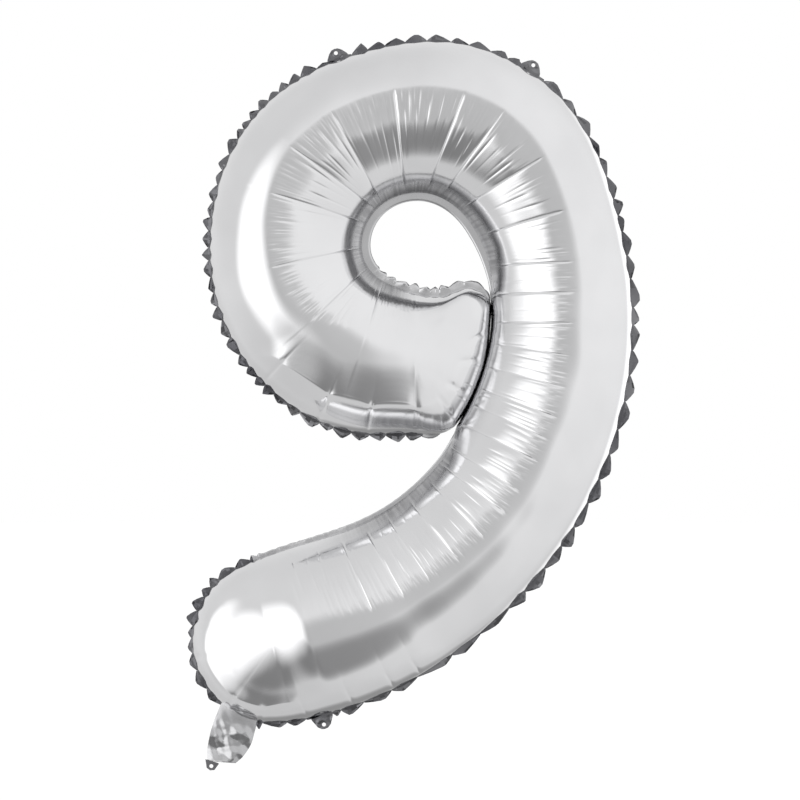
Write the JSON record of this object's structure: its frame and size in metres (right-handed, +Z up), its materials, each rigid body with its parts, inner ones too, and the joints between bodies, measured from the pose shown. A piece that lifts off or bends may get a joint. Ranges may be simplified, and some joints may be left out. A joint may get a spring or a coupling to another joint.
{
  "type": "foil number balloon",
  "caption": "Inflated silver foil balloon in the shape of the figure nine, with a sealed edge, hanging eyelets and a self-sealing filling neck.",
  "frame": {"origin": "hang point, about midway between the two top eyelets, on the plane of the seal", "axes": "+Z up, +X to a reader's right, front panel towards -Y"},
  "size_m": [0.4662, 0.1502, 0.7521],
  "materials": {
    "foil": "bright mirror-like metallised film",
    "sealed_foil": "bright, finely crinkled metallised film",
    "valve_film": "satin polyethylene film"
  },
  "bodies": {
    "envelope": {"front_panel": "foil", "back_panel": "foil", "edge_seal": "sealed_foil", "neck_root_front": "foil", "neck_root_back": "foil"},
    "neck": {"neck_front_wall": "foil", "neck_back_wall": "foil", "neck_seal_left": "sealed_foil", "neck_seal_right": "sealed_foil", "neck_eyelet_tab": "sealed_foil"},
    "tab_left": {"hang_tab_left": "sealed_foil"},
    "tab_right": {"hang_tab_right": "sealed_foil"},
    "tab_bottom": {"hang_tab_bottom": "sealed_foil"},
    "valve_front": {"valve_front_film": "valve_film"},
    "valve_back": {"valve_back_film": "valve_film"}
  },
  "joints": [
    {"name": "neck_fold", "type": "hinge", "parent": "envelope", "child": "neck", "pos_m": [-0.20473, 0, -0.67955], "axis": [0.9563, 0, -0.2924], "range_deg": [-70, 70], "stiffness_Nm_per_rad": 0.0005},
    {"name": "tab_left_bend", "type": "hinge", "parent": "envelope", "child": "tab_left", "pos_m": [-0.09975, 0, 0.00347], "axis": [0.9345, 0, 0.3561], "range_deg": [-70, 70], "stiffness_Nm_per_rad": 0.0002},
    {"name": "tab_right_bend", "type": "hinge", "parent": "envelope", "child": "tab_right", "pos_m": [0.09821, 0, -0.00852], "axis": [0.8383, 0, -0.5453], "range_deg": [-70, 70], "stiffness_Nm_per_rad": 0.0002},
    {"name": "tab_bottom_bend", "type": "hinge", "parent": "envelope", "child": "tab_bottom", "pos_m": [-0.1148, 0, -0.67164], "axis": [0.9699, 0, 0.2436], "range_deg": [-70, 70], "stiffness_Nm_per_rad": 0.0002},
    {"name": "valve_front_opening", "type": "hinge", "parent": "envelope", "child": "valve_front", "pos_m": [-0.20005, 0, -0.66425], "axis": [0.9563, 0, -0.2924], "range_deg": [0, 4], "stiffness_Nm_per_rad": 0.001},
    {"name": "valve_back_opening", "type": "hinge", "parent": "envelope", "child": "valve_back", "pos_m": [-0.20005, 0, -0.66425], "axis": [0.9563, 0, -0.2924], "range_deg": [-4, 0], "stiffness_Nm_per_rad": 0.001}
  ],
  "couplings": [
    {"joint": "valve_back_opening", "follows": "valve_front_opening", "ratio": -1}
  ]
}
